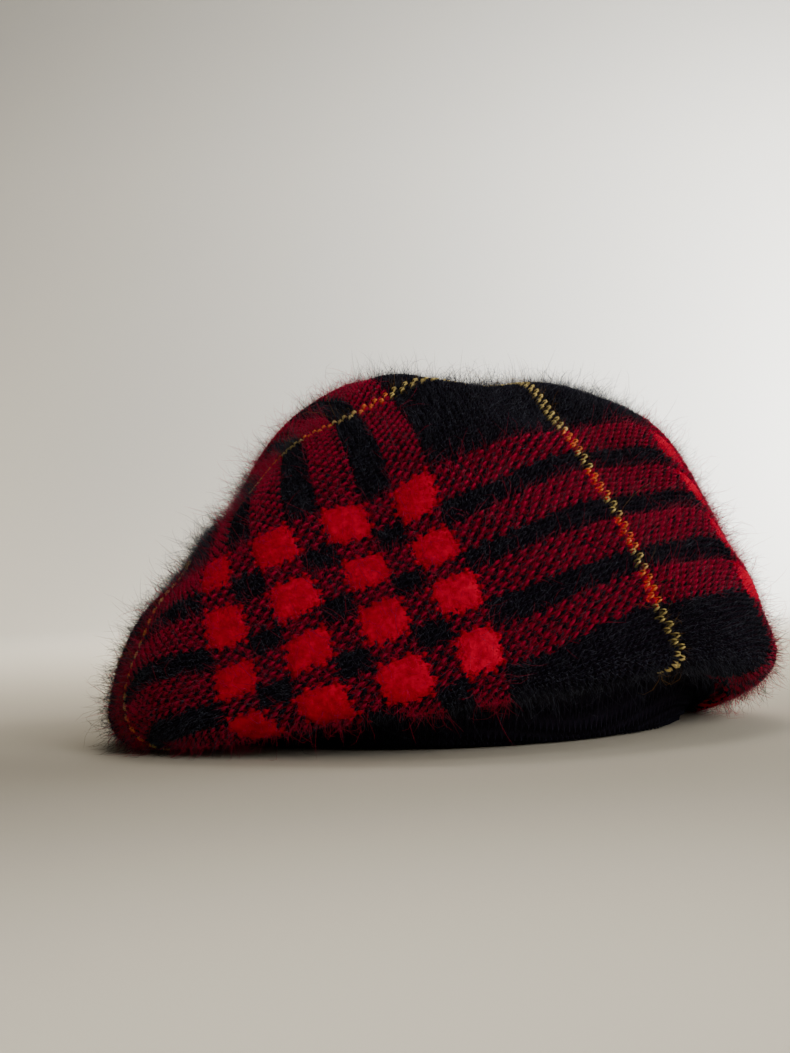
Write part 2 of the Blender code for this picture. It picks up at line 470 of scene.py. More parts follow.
def sectionCurves(size):
    # Distance from the middle and height: a superellipse from the middle to the widest line, a
    # quarter ellipse round the rolled edge, and a flat turn to the lower seam.
    dome = np.linspace(0.0, np.pi / 2, crown["steps"])[None, :]
    rounding = np.exp(-(dome / crown["middleRounding"]) ** 2)
    power = 2.0 / (size["fullness"] + (2.0 - size["fullness"]) * rounding)
    domeD = size["reach"] * np.sin(dome) ** power
    domeZ = size["waist"] + (crown["top"] - size["waist"]) * np.abs(np.cos(dome)) ** power
    roll = np.linspace(0.0, np.pi / 2, crown["rollSteps"])[None, 1:]
    rollD = size["reach"] - size["roll"] * (1.0 - np.cos(roll))
    rollZ = size["waist"] - (size["waist"] - size["lift"]) * np.sin(roll)
    seamD = size["reach"] - size["roll"] - crown["seamTurn"]
    d = np.concatenate([domeD, rollD, seamD], axis=1)
    z = np.concatenate([domeZ, rollZ, size["lift"]], axis=1)
    return d, z


def crownForm():
    # The sections with their folds, each point then averaged with its neighbours until the bends
    # are soft, divided into even steps, and moved outwards by the slack waves.
    angles = fullTurn(crown["directions"])
    middle, outwards = np.array(crown["middle"]), heading(angles)[:, None, :]
    d, z = sectionCurves(sectionSizes(angles))
    ground = middle + d[..., None] * outwards
    z = z + foldRise(ground[..., 0], ground[..., 1], z)
    z[:, 0] = z[:, 0].mean()
    d, z, length = evenSteps(d, z)
    step = length.mean() / crown["steps"]
    for _ in range(int(2 * (crown["softening"] / step) ** 2)):
        for grid in (d, z):
            grid[:, 1:-1] += (grid[:, :-2] - 2 * grid[:, 1:-1] + grid[:, 2:]) / 4
    z[:, 0] = z[:, 1].mean()
    d, z, length = evenSteps(d, z)
    ground = middle + d[..., None] * outwards
    points = np.concatenate([ground, z[..., None]], axis=-1)
    fade = np.clip(z / crown["waveFade"], 0.0, 1.0)
    points = points + formNormals(points) * (slackWaves(points) * fade)[..., None]
    points[:, 0] = points[:, 0].mean(axis=0)
    return points, formNormals(points), length


def formNormals(points):
    # Square to the lines down and round the form; straight up at its middle.
    beside = np.roll(points, -1, axis=0) - np.roll(points, 1, axis=0)
    normals = np.cross(np.gradient(points, axis=1), beside)
    normals[:, 0] = (0.0, 0.0, 1.0)
    return unit(normals)


formPoints, formOutwards, formLength = crownForm()
print("crown form: sections %.0f to %.0f mm long" % (formLength.min() / mm, formLength.max() / mm))


def onForm(place, height=0.0):
    # place: direction and distance from the middle along the knit, as a flat (x, y); the form is
    # read between its four nearest points. Also gives the outward direction and the share of the way.
    angle = np.arctan2(place[..., 1], place[..., 0]) % (2 * np.pi) / (2 * np.pi) * crown["directions"]
    distance = np.hypot(place[..., 0], place[..., 1])
    i = np.floor(angle).astype(int) % crown["directions"]
    i2 = (i + 1) % crown["directions"]
    u = angle - np.floor(angle)
    share = distance / (formLength[i] * (1 - u) + formLength[i2] * u)
    step = np.clip(share, 0.0, 1 - 1e-9) * crown["steps"]  # short of the last point
    j = np.floor(step).astype(int)
    v = (step - j)[..., None]
    u = u[..., None]

    def between(grid):
        here = grid[i, j] * (1 - v) + grid[i, j + 1] * v
        beside = grid[i2, j] * (1 - v) + grid[i2, j + 1] * v
        return here * (1 - u) + beside * u

    outward = unit(between(formOutwards))
    return between(formPoints) + outward * np.asarray(height)[..., None], outward, share


tartan = {
    "columnPitch": 2.11 * mm,
    "rowPitch": 1.95 * mm,
    "spread": 1.08,        # the knit's stretch where no pin holds it
    "reach": 60.0 * mm,    # how far a pin's pull carries
    "give": 0.002,         # how far the pins give way to each other
    # Stitches from group to group, and from a group's middle to its red bands on either side.
    "columns": (89.0, (5.5, 16.5)),
    "rows": (86.0, (5.0, 15.0)),
    "halfBand": 3.0,
    "halfLine": 1.0,       # of the yellow line, half-way between two groups
    "searchSteps": 12,     # tangent steps from a place to its stitch
    "searchStride": 12.0,  # stitches, the longest of them
}

# Where the knit is pinned: pixels of the photograph, x and y, at places counted in stitches
# from the middle of the sixteen red blocks, columns to the right and rows down.
redBlocks = {  # column: its blocks in the rows of blockRows
    -16.5: ((214, 572), (225, 629), (237, 680), (255, 730)),
    -5.5: ((273, 548), (296, 599), (309, 650), (325, 708)),
    5.5: ((347, 523), (368, 571), (383, 620), (405, 682)),
    16.5: ((415, 500), (435, 548), (456, 593), (482, 648)),
}
blockRows = (-15.0, -5.0, 5.0, 15.0)

# Other places, by line of the tartan: column, row, x and y of each.
pins = {
    "yellow line": (
        (44.5, -29.5, 540, 401), (44.5, -18, 565, 432), (44.5, -10, 583, 459), (44.5, 0, 613, 506),
        (44.5, 10, 640, 560), (44.5, 18, 657, 603), (44.5, 29, 677, 663),
    ),
    "left yellow line": ((-44.5, -30, 189, 569), (-44.5, -10, 139, 655), (-44.5, 0, 126, 705)),
    "top yellow line": ((0, -43, 293, 448), (11, -43, 345, 420), (19.5, -43, 388, 396)),
    "above the blocks": ((0, -18, 303, 517), (19.5, -18, 430, 466), (19.5, -30, 410, 426)),
    "rows before the yellow line": (
        (30, -10, 500, 491), (30, 0, 540, 529), (30, 10, 555, 589), (30, 18, 560, 649),
    ),
    "rows past it": (
        (57, -10, 629, 457), (57, 0, 656, 501), (57, 10, 684, 551), (57, 18, 704, 595),
    ),
    "right red column's edge": (
        (69.5, -15, 657, 441), (69.5, -10, 668, 462), (69.5, 0, 700, 504), (69.5, 10, 729, 552),
        (69.5, 18, 748, 594), (69.5, 28, 769, 640),
    ),
}


def pinPlaces():
    # Every pin's stitch, and the place on the form that shows at its pixel.
    table = [(column, row, *pixel)
             for column, blocks in redBlocks.items() for row, pixel in zip(blockRows, blocks)]
    table = np.array(table + [pin for line in pins.values() for pin in line], float)
    facing = (formOutwards * unit(viewFrom - formPoints)).sum(-1)
    shown = toPixels(formPoints)[facing > 0]
    nearest = [((shown - pixel) ** 2).sum(-1).argmin() for pixel in table[:, 2:]]
    direction, step = [index[nearest] for index in np.nonzero(facing > 0)]
    distance = formLength[direction] * step / crown["steps"]
    place = heading(direction * 2 * np.pi / crown["directions"]) * distance[:, None]
    return table[:, :2], place


class Lay:
    # How the flat knit lies on the form: turned and moved as a whole to fit the pins, then pulled.
    def __init__(self):
        stitch, place = pinPlaces()
        self.pitch = np.array([tartan["columnPitch"], tartan["rowPitch"]])
        self.pins = stitch * self.pitch
        self.flatMiddle = self.pins.mean(0)
        self.placeMiddle = place.mean(0)
        u, _, v = np.linalg.svd((self.pins - self.flatMiddle).T @ (place - self.placeMiddle))
        self.turn = u @ v * tartan["spread"]
        pulls = self.pulls(self.pins) + np.eye(len(stitch)) * tartan["give"]
        self.weights = np.linalg.solve(pulls, place - self.whole(self.pins))

    def whole(self, flat):
        return (flat - self.flatMiddle) @ self.turn + self.placeMiddle

    def pulls(self, flat):
        # Each pin's pull: full at the pin, dying away smoothly with distance.
        share = np.linalg.norm(flat[:, None] - self.pins[None], axis=-1) / tartan["reach"]
        return (1 + share) * np.exp(-share)

    def place(self, stitch):
        flat = stitch.reshape(-1, 2) * self.pitch
        return (self.whole(flat) + self.pulls(flat) @ self.weights).reshape(stitch.shape)

    def stitchAt(self, place):
        # The reverse: from the unpulled knit, steps along the tangents until the place is met.
        wanted = place.reshape(-1, 2)
        stitch = ((wanted - self.placeMiddle) @ np.linalg.inv(self.turn) + self.flatMiddle) / self.pitch
        longest = tartan["searchStride"]
        for _ in range(tartan["searchSteps"]):
            byColumn = self.place(stitch + (0.5, 0.0)) - self.place(stitch - (0.5, 0.0))
            byRow = self.place(stitch + (0.0, 0.5)) - self.place(stitch - (0.0, 0.5))
            slopes = np.stack([byColumn, byRow], axis=-1)
            stride = np.linalg.solve(slopes, (wanted - self.place(stitch))[..., None])[..., 0]
            stitch = stitch + np.clip(stride, -longest, longest)
        return stitch.reshape(place.shape)


lay = Lay()
print("knit pinned at %d places" % len(lay.pins))


yarnCodes = {"black": 0, "red": 1, "yellow": 2}


def fromMiddle(count, repeat):
    # How many stitches from the middle of the nearest group of bands.
    return np.abs((count + repeat / 2) % repeat - repeat / 2)


def fromBand(count, repeat, bands):
    # How many stitches from the middle of the nearest red band of columns or rows.
    return np.min([np.abs(fromMiddle(count, repeat) - band) for band in bands], axis=0)


def bandColour(count, repeat, bands):
    # The code of the yarn in a column or a row.
    red = fromBand(count, repeat, bands) < tartan["halfBand"]
    yellow = fromMiddle(count, repeat) > repeat / 2 - tartan["halfLine"]
    return np.where(yellow, yarnCodes["yellow"], np.where(red, yarnCodes["red"], yarnCodes["black"]))


cloth = {
    "directions": 288,
    "steps": 120,
    "innerEvery": 3,        # the inside needs fewer steps
    "sunk": 0.45 * mm,      # below the form, under the stitches
    "floor": 0.15 * mm,     # nothing of the hat is lower
    "uvScale": 0.01,        # map units to a stitch
    "look": (0.95, 0.0, 0.06, (1.0, 0.1, 0.2)),  # roughness, gloss, sheen and its tint
    "felted": 1.05 * mm,    # how much higher the felted solid red stands
    "feltSpill": 0.85,      # of a stitch, how far the felt spreads past the red
    "feltEdge": 1.5,        # of a stitch, over which that rise dies away
    "feltCorner": 4.0,      # power of the superellipse that rounds a block's corners
    "feltUneven": 0.45,     # of a stitch, how uneven the rise's edge is
    "feltSeed": 3,
    "feltColour": 0.45,     # share of the spill that is solid red
    "mottle": (420.0, 2.0, 4.0),  # scale, contrast and detail of the solid red
    "mottleShades": (0.60, 1.36),
    "ragged": 4.2,          # stitches, how far the felt's fibres carry its colours about
    "raggedNoise": {"Scale": 560.0, "Detail": 3.0},
    "blackShadedBetween": 0.8,    # how bright the cloth is between the stitches of each yarn: painted shade in the gaps
    "redShadedBetween": 0.4,
    "yellowShadedBetween": 0.10,
    "grain": (900.0, 4.0),  # scale and detail
    "grainBump": (0.5 * mm, 0.8),
    "aboveZero": 100,       # repeats added to a count, so that it is never negative
}


def clothBands(count, repeat, bands):
    # As fromBand, in nodes, and whether the yellow line is here.
    count = count + cloth["aboveZero"] * repeat + repeat / 2
    side = abs(count.math("MODULO", repeat) - repeat / 2)
    near = abs(side - bands[0]).math("MINIMUM", abs(side - bands[1]))
    return near, side > repeat / 2 - tartan["halfLine"]


def clothFinish():
    # The same tartan, from the count of stitches in the map, with painted shade between the stitches.
    finish = Finish("crown_cloth", *cloth["look"])
    columnCount, rowCount = finish.parts(finish.uv("knit"))
    noise = {"Vector": finish.objectPlace(), **cloth["raggedNoise"]}
    raggedX, raggedY = finish.parts(finish.node("TexNoise", noise, "Color"))
    column = columnCount / cloth["uvScale"] + (raggedX - 0.5) * cloth["ragged"]
    row = rowCount / cloth["uvScale"] + (raggedY - 0.5) * cloth["ragged"]
    cell = (column + 0.5).math("FLOOR")
    rowCell = row.math("FLOOR")
    odd = abs((cell + rowCell).math("MODULO", 2.0)) > 0.5
    columnNear, yellowColumn = clothBands(cell, *tartan["columns"])
    rowNear, yellowRow = clothBands(rowCell + 0.5, *tartan["rows"])
    redColumn = columnNear < tartan["halfBand"]
    redRow = rowNear < tartan["halfBand"]
    red = redColumn * (1 - odd) + redRow * odd
    yellow = yellowColumn * (1 - odd) + yellowRow * odd
    # Between the stitches each yarn's colour is darkened: painted shade in the gaps. Over red, the yellow
    # line's ground is the red behind it.
    shadedBlackBetween = rgb(yarn["black"], cloth["blackShadedBetween"])
    shadedRedBetween = rgb(yarn["lone red"], cloth["redShadedBetween"])
    behindYellow = rgb(yarn["yellow"], cloth["yellowShadedBetween"])
    overRed = redColumn.math("MAXIMUM", redRow)
    behindYellow = finish.mix(overRed, behindYellow, rgb(yarn["behind orange"]))
    between = finish.mix(yellow, finish.mix(red, shadedBlackBetween, shadedRedBetween), behindYellow)
    felted = tartan["halfBand"] + cloth["feltSpill"] * cloth["feltColour"]
    across = clothBands(column, *tartan["columns"])[0] / felted
    down = clothBands(row, *tartan["rows"])[0] / felted
    block = across.math("POWER", cloth["feltCorner"]) + down.math("POWER", cloth["feltCorner"]) < 1.0
    solid = finish.shaded(finish.drift(*cloth["mottle"]), yarn["red"], cloth["mottleShades"])
    finish.colour(finish.mix(block, between, solid))
    finish.grain(cloth)
    return finish.material


def feltRise(stitch, uneven=0.0):
    # Where red columns cross red rows the knit is all red, and its nap stands over the stitches:
    # a superellipse of the two distances, give or take a random part of a stitch.
    stitch = stitch + np.random.default_rng(cloth["feltSeed"]).uniform(-uneven, uneven, stitch.shape)
    across = fromBand(stitch[..., 0], *tartan["columns"])
    down = fromBand(stitch[..., 1], *tartan["rows"])
    corner = cloth["feltCorner"]
    away = (across ** corner + down ** corner) ** (1 / corner)
    share = np.clip((tartan["halfBand"] + cloth["feltSpill"] - away) / cloth["feltEdge"], 0.0, 1.0)
    return share * cloth["felted"]


def clothPoints():
    # The outer face a little under the stitches, then the inner face, joined at the lower seam.
    angle = fullTurn(cloth["directions"])
    share = np.linspace(0.0, 1.0, cloth["steps"] + 1)
    length = np.interp(angle, fullTurn(crown["directions"]), formLength)
    distance = length[:, None] * share[None, :] * (1 - 1e-6)  # just inside the seam
    place = heading(angle)[:, None, :] * distance[..., None]
    outer, outward, _ = onForm(place)
    outerStitch = lay.stitchAt(place)
    edge = np.ones(len(share))
    edge[-1] = 0.0
    rise = (feltRise(outerStitch, cloth["feltUneven"]) - cloth["sunk"]) * edge
    innerPlace = place[:, ::-cloth["innerEvery"]]
    inner, innerOutward, _ = onForm(innerPlace)
    outer = outer + outward * rise[..., None]
    points = np.concatenate([outer, inner - innerOutward * crown["wall"]], axis=1)
    stitch = np.concatenate([outerStitch, lay.stitchAt(innerPlace)], axis=1)
    points[..., 2] = np.maximum(points[..., 2], cloth["floor"])
    return points, stitch


def closeMiddle(points, values):
    # A grid whose first and last columns are each one point: returns points, faces and values.
    rows, columns = points.shape[:2]
    columns -= 2
    quads = gridFaces(rows, columns, True, False) + 1
    i = np.arange(rows)
    i2 = (i + 1) % rows
    first = np.stack([np.zeros(rows, int), i * columns + 1, i2 * columns + 1], -1)
    last = np.stack([np.full(rows, rows * columns + 1), (i2 + 1) * columns, (i + 1) * columns], -1)
    faces = np.concatenate([quads[:, [0, 1, 2]], quads[:, [0, 2, 3]], first, last])

    def joined(grid):
        return np.concatenate([grid[:1, 0], grid[:, 1:-1].reshape(-1, grid.shape[-1]), grid[:1, -1]])

    return joined(points), faces, joined(values)


points, stitch = clothPoints()
points, faces, stitch = closeMiddle(points, stitch)
crownCloth = makePiece("crown_cloth", points, faces, clothFinish(), "knit", stitch * cloth["uvScale"])
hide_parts("crown")
print("crown cloth: %d triangles" % len(faces))


stitches = {
    "columns": (-120, 170),
    "rows": (-180, 100),
    "lastShare": 0.985,      # stitches end at the lower seam
    "unevenness": 0.05,      # of a stitch
    "plumpness": (0.86, 1.14),
    "clearance": 0.55 * mm,  # of the legs' middle line over the floor
    "seed": 11,
}

# Legs by the kind of stitch; the nap hides a lone stitch's upper leg. Each has its start and end
# in columns and rows from the stitch's middle, its radius in mm, and from start to end the
# heights of its middle line over the form in mm and its shares of the radius.
legKinds = {
    "black": (
        ((-0.80, 0.46), (0.80, -0.26), 0.62, (-0.5, 0.22, -0.5), (0.0, 1.0, 0.0)),
    ),
    "red": (
        ((-0.60, -0.45), (0.62, 0.02), 0.48, (-0.4, 0.18, -0.4), (0.0, 1.0, 0.0)),
        ((-0.72, 0.46), (0.74, -0.20), 0.56, (-0.4, 0.28, -0.4), (0.0, 1.0, 0.0)),
    ),
    "lone red": (
        ((-0.70, 0.38), (0.72, -0.27), 0.45, (-0.4, 0.32, 0.40, -0.4), (0.0, 0.9, 1.0, 0.0)),
    ),
    "yellow": (
        ((-0.50, -0.50), (0.62, -0.05), 0.27, (-0.3, 0.62, 0.76, -0.2), (0.0, 0.8, 1.0, 0.0)),
        ((-0.62, 0.50), (0.62, 0.05), 0.40, (-0.3, 0.66, 0.78, -0.2), (0.0, 1.0, 0.9, 0.0)),
    ),
}


def stitchLegs(column, row, kind):
    # Each stitch is a V lying on its side. Its legs run straight over the knit, rise from
    # their starts and dip at their ends, where the next stitch passes over them.
    draw = np.random.default_rng(stitches["seed"])
    middle = np.stack([column, row], -1).astype(float)
    middle += draw.normal(0.0, stitches["unevenness"], middle.shape)
    paths, radii, ups = [], [], []
    for start, end, radius, heights, shares in kind:
        start, end = np.array([start, end])
        way = np.linspace(0.0, 1.0, len(heights))[None, :, None]
        path = middle[:, None, :] + start + (end - start) * way
        points, outward, _ = onForm(lay.place(path), np.array([heights]) * mm)
        points[..., 2] = np.maximum(points[..., 2], stitches["clearance"])
        plump = draw.uniform(*stitches["plumpness"], (len(column), 1))
        paths.append(points)
        radii.append(radius * mm * (plump * shares))
        ups.append(outward[:, 1])
    return np.concatenate(paths), np.concatenate(radii), np.concatenate(ups)


column, row = everyPair(np.arange(*stitches["columns"]), np.arange(*stitches["rows"]) + 0.5)
_, _, share = onForm(lay.place(np.stack([column, row], -1)))
kept = share < stitches["lastShare"]
column, row = column[kept], row[kept]
print("stitches: %d" % len(column))

# Columns and rows take turns: a stitch has its column's yarn or its row's, like a chessboard.
ofColumn = bandColour(column, *tartan["columns"])
ofRow = bandColour(row, *tartan["rows"])
stitchColour = np.where((column + np.floor(row)) % 2 == 0, ofColumn, ofRow)
inBlock = feltRise(np.stack([column, row], -1)) > 0
overRed = (ofColumn == yarnCodes["red"]) | (ofRow == yarnCodes["red"])

yarnFinishes = {
    "red": yarnFinish("red_yarn", yarn["red"], 0.06, (1.0, 0.1, 0.2)),
    "lone red": yarnFinish("lone_red_yarn_painted_shade", yarn["lone red"], 0.14, (1.0, 0.2, 0.4), scale=450.0),
    "black": yarnFinish("black_yarn", yarn["black"], 0.04, (0.6, 0.65, 1.0)),
    "yellow": yarnFinish("yellow_yarn", yarn["yellow"], 0.05, (1.0, 0.9, 0.5)),
    "orange": yarnFinish("orange_yarn", yarn["orange"], 0.05, (1.0, 0.5, 0.3), yarn["orange lit"], 700.0),
}


def addStrands(name, paths, radii, ups, material, slot):
    # All the strands as one piece; a straight strand has only its two ends.
    if paths.shape[1] == 2:
        points, faces, uv = spikes(paths[:, 0], paths[:, 1], radii[:, 0])
    else:
        points, faces, uv = spindles(paths, radii, ups)
    points[:, 2] = np.maximum(points[:, 2], cloth["floor"])
    makePiece(name, points, faces, material, "strand", uv)
    print("%s: %d triangles" % (name, len(faces)))


# Pieces of stitches: kind of legs, finish, colour in the tartan, and where.
stitchPieces = {
    "black_stitches": ("black", "black", "black", True),
    "red_block_stitches": ("red", "red", "red", inBlock),
    "red_stitches": ("lone red", "lone red", "red", ~inBlock),
    "yellow_stitches": ("yellow", "yellow", "yellow", ~overRed),
    "orange_stitches": ("yellow", "orange", "yellow", overRed),
}
for name, (legs, finish, colour, where) in stitchPieces.items():
    mine = where & (stitchColour == yarnCodes[colour])
    strands = stitchLegs(column[mine], row[mine], legKinds[legs])
    addStrands(name, *strands, yarnFinishes[finish], "crown_knit")


panel = {
    "gap": 0.3 * mm,         # to the crown's seam and to the head band
    "edgeHeight": 0.8 * mm,  # of the lower face where it meets the band
    "flat": 0.22,            # share of the width that is level at each edge
    "wall": 3.0 * mm,
    "directions": 360,
    "slopeSteps": 12,
    "sunk": 0.5 * mm,        # lower face, above its stitches
    "shade": 1.6,            # brightness, to the black yarn's: partly a likelier black, partly painted light so the knit shows in the shade under the crown
    "wales": 226,            # stitches round it
    "rows": 14,              # as many as its widest part takes
    "firstRow": 0.6,         # of a row, from the seam
    "rowPitch": 1.9 * mm,
    "bareWidth": 0.9 * mm,   # left at the head band
    "legReach": 0.6,         # of a row, either way from a leg's middle
    "legSpread": 0.42,       # of a wale, from the stitch's middle
    "slopeEnds": (0.01, 0.99),
    "legRadius": 0.50 * mm,
    "legRise": (-0.35, 0.18, -0.35),  # mm
    "plumpness": (0.85, 1.1),
    "seed": 17,
}
band = {
    "middle": (2.0 * mm, 3.0 * mm),
    "radius": 69.0 * mm,
    "thickness": 3.5 * mm,
    "height": 28.0 * mm,
    "ribs": 148,
    "aroundEachRib": 4,
    "ribDepth": 0.55 * mm,
    "sideSteps": 12,
    "foldSteps": 6,
    # brightness, to the black yarn's: partly a likelier black, partly painted light, as the panel's
    "shade": 2.4,
}
blackKnit = {
    "look": (0.95, 0.02, 0.02, (0.6, 0.6, 0.8)),  # roughness, gloss, sheen and its tint
    "shades": (0.6, 1.3),
    "driftScale": 260.0,
    "grain": (1400.0, 4.0, (1, 1, 0.5)),  # scale, detail and stretch
    "grainBump": (0.3 * mm, 0.7),
}


def panelAt(angles, slope):
    # From the lower seam, level, down an S-shaped slope, and level again to the head band;
    # slope 0 is the seam's end and 1 the band's end. Gives points and the panel's width.
    size = sectionSizes(angles)
    seam = size["reach"] - size["roll"] - crown["seamTurn"] - panel["gap"]
    outer = np.array(crown["middle"]) + seam * heading(angles)
    inner = np.array(band["middle"]) + (band["radius"] + panel["gap"]) * heading(angles)
    ease = smoothStep(slope, panel["flat"], 1 - panel["flat"])
    height = size["lift"] + (panel["edgeHeight"] - size["lift"]) * ease
    ground = outer[:, None, :] + (inner - outer)[:, None, :] * slope[..., None]
    return np.concatenate([ground, height[..., None]], axis=-1), np.linalg.norm(inner - outer, axis=-1)


def panelPoints():
    # A closed wall: the lower face a little above its stitches, and the upper face.
    angles = fullTurn(panel["directions"])
    slope = np.linspace(0.0, 1.0, panel["slopeSteps"] + 1)[None, :] * np.ones((len(angles), 1))
    face, _ = panelAt(angles, slope)
    lower, upper = face.copy(), face[:, ::-1].copy()
    lower[:, 1:-1, 2] += panel["sunk"]
    upper[..., 2] += panel["wall"]
    return np.concatenate([lower, upper], axis=1)


def panelStitches():
    # V stitches in rows that follow the seam, their points outwards, as many rows as there is width.
    wale = 2 * np.pi / panel["wales"]
    turns = (np.arange(panel["wales"]) + 0.5) * wale
    distances = (np.arange(panel["rows"]) + panel["firstRow"]) * panel["rowPitch"]
    angle, distance = everyPair(turns, distances)
    _, width = panelAt(angle, np.zeros((len(angle), 1)))
    mine = distance < width - panel["bareWidth"]
    angle, distance, width = angle[mine], distance[mine], width[mine]
    rise = np.array(panel["legRise"]) * mm
    share = np.linspace(0.0, 1.0, len(rise))
    paths = []
    for side in (-1.0, 1.0):
        along = panel["legReach"] * panel["rowPitch"] * (1 - 2 * share)[None, :] + distance[:, None]
        across = side * panel["legSpread"] * wale * (1 - share)[None, :] + angle[:, None]
        slope = np.clip(along / width[:, None], *panel["slopeEnds"])
        points = panelAt(across.ravel(), slope.reshape(-1, 1))[0].reshape(-1, len(rise), 3)
        points[..., 2] = np.maximum(points[..., 2] - rise, panel["legRadius"] + cloth["floor"])
        paths.append(points)
    paths = np.concatenate(paths)
    draw = np.random.default_rng(panel["seed"])
    plump = draw.uniform(*panel["plumpness"], (len(paths), 1)) * np.array([0.0, 1.0, 0.0])
    return paths, panel["legRadius"] * plump, np.broadcast_to([0.0, 0.0, -1.0], (len(paths), 3))


def bandPoints():
    # A ring with a rounded upper fold, over which its outline runs before it goes down the outside
    # and up the inside. One by one rib: both faces swell with the turn's cosine, all of it above
    # zero, so that each rib is round and each furrow sharp.
    angles = fullTurn(band["ribs"] * band["aroundEachRib"])
    half = band["thickness"] / 2
    straight = band["height"] - half
    fold = np.linspace(0.0, np.pi, band["foldSteps"] + 1)
    side = np.linspace(0.0, 1.0, band["sideSteps"])[1:]
    outline = np.concatenate([
        np.stack([-half * np.cos(fold), straight + half * np.sin(fold)]),
        np.stack([half + 0 * side, straight * (1 - side)]),
        [[-half], [0.0]],
        np.stack([-half + 0 * side[:-1], straight * side[:-1]]),
    ], axis=1)
    across, heights = outline[:, None, :]
    rib = np.abs(np.cos(angles * band["ribs"] / 2))[:, None]
    distance = band["radius"] - half + across - np.sign(across) * band["ribDepth"] * (1 - rib)
    ground = np.array(band["middle"]) + distance[..., None] * heading(angles)[:, None, :]
    heights = np.broadcast_to(heights, distance.shape)
    return np.concatenate([ground, heights[..., None]], axis=-1)


def ringPiece(name, points, shade):
    # A closed wall of black knit, its colour times the shade factor: partly a likelier black, partly
    # painted light so it shows in the shadow under the crown.
    finish = Finish(name, *blackKnit["look"])
    shades = [each * shade for each in blackKnit["shades"]]
    finish.colour(finish.shaded(finish.drift(blackKnit["driftScale"]), yarn["black"], shades))
    finish.grain(blackKnit)
    faces = gridFaces(*points.shape[:2], True, True)
    return makePiece(name, points.reshape(-1, 3), faces, finish.material)


underside = ringPiece("underside_cloth", panelPoints(), panel["shade"])
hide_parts("underside")
addStrands("underside_stitches", *panelStitches(), yarnFinishes["black"], "underside_knit")

headband = ringPiece("headband_rib", bandPoints(), band["shade"])
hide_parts("headband")
print("lower panel and head band done")


# Fibres by kind: how many, how many rings each, shortest and longest in mm, radius in mm, lowest
# and highest lift from the knit in degrees, how strongly they curl, and how rare the long are.
fibreKinds = {
    "down": (33000, 0, (1.2, 3.6), 0.052, (45, 90), 0.0, 1.0),
    "nap": (58000, 0, (2.0, 5.6), 0.046, (38, 90), 0.0, 1.0),
    "hair": (17000, 2, (3.4, 11.5), 0.046, (25, 88), 1.2, 1.2),
    "wisp": (4000, 3, (6.5, 17.0), 0.045, (20, 85), 2.1, 1.4),
}
fuzz = {
    "rootDepth": 0.3 * mm,
    "taper": 0.75,          # last ring's radius to the first's
    "thickness": (0.8, 1.2),
    "lastShare": 0.97,      # no fibres past this share of the way to the lower seam
    "redShare": 0.6,        # of the fibres in a red column or row that are red
    "yellowShare": 0.7,     # how hairy a yellow stitch is, to another
    "farthest": 12.0 * mm,  # past the hat's box
    "seed": 31,             # of the first kind
    "look": (0.7, 0.1),     # roughness and gloss
    "driftScale": 90.0,
    "shades": (0.6, 1.4),
}


def fibreFinish(name, colour, sheen, sheenTint):
    finish = Finish(name, *fuzz["look"], sheen, sheenTint)
    finish.colour(finish.shaded(finish.drift(fuzz["driftScale"]), colour, fuzz["shades"]))
    return finish.material


fuzzFinishes = {
    # The red fibres are lighter than the red yarn: their own red, lifted as painted light for the glow of
    # backlit nap.
    "red": fibreFinish("red_fibre", (0.58, 0.003, 0.050), 0.15, (1.0, 0.1, 0.25)),
    "long red": fibreFinish("long_red_fibre", (0.30, 0.004, 0.030), 0.2, (1.0, 0.2, 0.35)),
    "black": fibreFinish("black_fibre", (0.012, 0.011, 0.016), 0.20, (0.7, 0.78, 1.0)),
    "yellow": fibreFinish("yellow_fibre", (0.22, 0.11, 0.025), 0.1, (1.0, 0.9, 0.5)),
}


